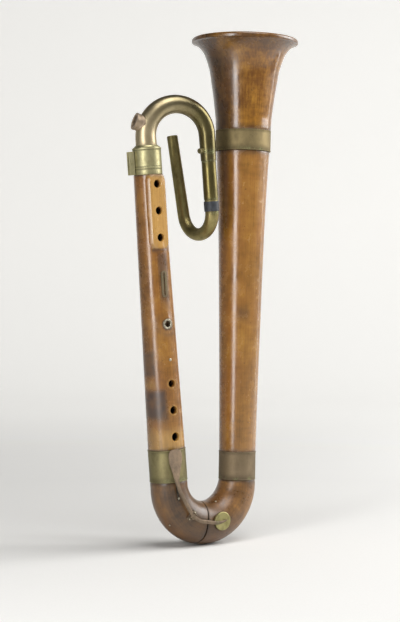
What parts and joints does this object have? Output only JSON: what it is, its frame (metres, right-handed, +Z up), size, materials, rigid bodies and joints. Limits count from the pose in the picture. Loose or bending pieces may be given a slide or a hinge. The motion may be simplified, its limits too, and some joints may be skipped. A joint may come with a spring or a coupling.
{
  "type": "serpent bass horn",
  "caption": "Upright wooden serpent bass horn: U-shaped butt, two conical limbs, flared wooden bell, brass ferrules, long butt key, and brass crook with a recurved mouthpipe.",
  "frame": {"origin": "middle of the outer box, at the lowest point of the butt", "axes": "+Z up along the bell, the bell limb to +X, finger holes and key to -Y"},
  "size_m": [0.3482, 0.1952, 0.9176],
  "materials": {
    "limb_wood": "stained fruitwood under old shellac varnish, satin",
    "butt_wood": "stained fruitwood under old shellac varnish, satin, worn",
    "bell_wood": "stained turned fruitwood, glossier shellac varnish",
    "pale_brass": "polished yellow brass, slightly dulled",
    "crook_brass": "drawn brass tube, polished and hazed",
    "dark_brass": "drawn brass tube with brown tarnish",
    "key_brass": "filed brass, worn smooth",
    "steel": "blued steel, darkened",
    "band_leather": "black waxed leather",
    "pad_leather": "soft leather",
    "thread": "waxed linen thread"
  },
  "bodies": {
    "horn": {"fingered_limb": "limb_wood", "fingered_tenon_lapping": "thread", "slot_plate": "dark_brass", "tone_hole_bush": "pale_brass", "limb_screw": "steel", "top_ferrule": "pale_brass", "vent_key_saddle": "pale_brass", "fingered_butt_ferrule": "pale_brass", "fingered_elbow": "butt_wood", "belled_elbow": "butt_wood", "belled_butt_ferrule": "pale_brass", "bell_limb": "limb_wood", "belled_tenon_lapping": "thread", "bell_tenon_lapping": "thread", "bell_ferrule": "pale_brass", "bell": "bell_wood", "key_saddle": "key_brass", "key_pivot_pin": "steel", "saddle_screw_1": "steel", "saddle_screw_2": "steel", "key_spring": "steel", "spring_screw": "steel", "butt_screw_1": "steel", "butt_screw_2": "steel"},
    "crook": {"crook": "crook_brass", "crook_skirt": "pale_brass", "crook_tenon_lapping": "thread", "vent_chimney": "crook_brass", "clamp_boss": "dark_brass"},
    "clamp": {"clamp_screw": "pale_brass"},
    "slide": {"tuning_slide": "dark_brass"},
    "mouthpipe": {"mouthpipe": "dark_brass", "mouthpipe_band": "band_leather"},
    "key": {"key_lever": "key_brass", "key_pad_cup": "key_brass", "key_pad": "pad_leather"}
  },
  "joints": [
    {"name": "crook_swivel", "type": "hinge", "parent": "horn", "child": "crook", "pos_m": [-0.13876, 0, 0.70687], "axis": [-0.0795, 0, 0.9968], "range_deg": [-20, 25]},
    {"name": "clamp_turn", "type": "hinge", "parent": "crook", "child": "clamp", "pos_m": [-0.0449, -0.03318, 0.70382], "axis": [-0.983, -0.1685, -0.0732], "continuous": true},
    {"name": "tuning", "type": "slide", "parent": "crook", "child": "slide", "axis": [0.0795, 0, -0.9968], "range_m": [0, 0.03]},
    {"name": "mouthpipe_turn", "type": "hinge", "parent": "slide", "child": "mouthpipe", "pos_m": [-0.02082, -0.03024, 0.61847], "axis": [-0.0795, 0, 0.9968], "range_deg": [-20, 30]},
    {"name": "butt_key", "type": "hinge", "parent": "horn", "child": "key", "pos_m": [-0.06858, -0.0435, 0.05885], "axis": [-0.7193, 0, -0.6947], "range_deg": [0, 4], "stiffness_Nm_per_rad": 0.25, "springref_deg": -28.65, "deforming": ["key_spring"]}
  ]
}
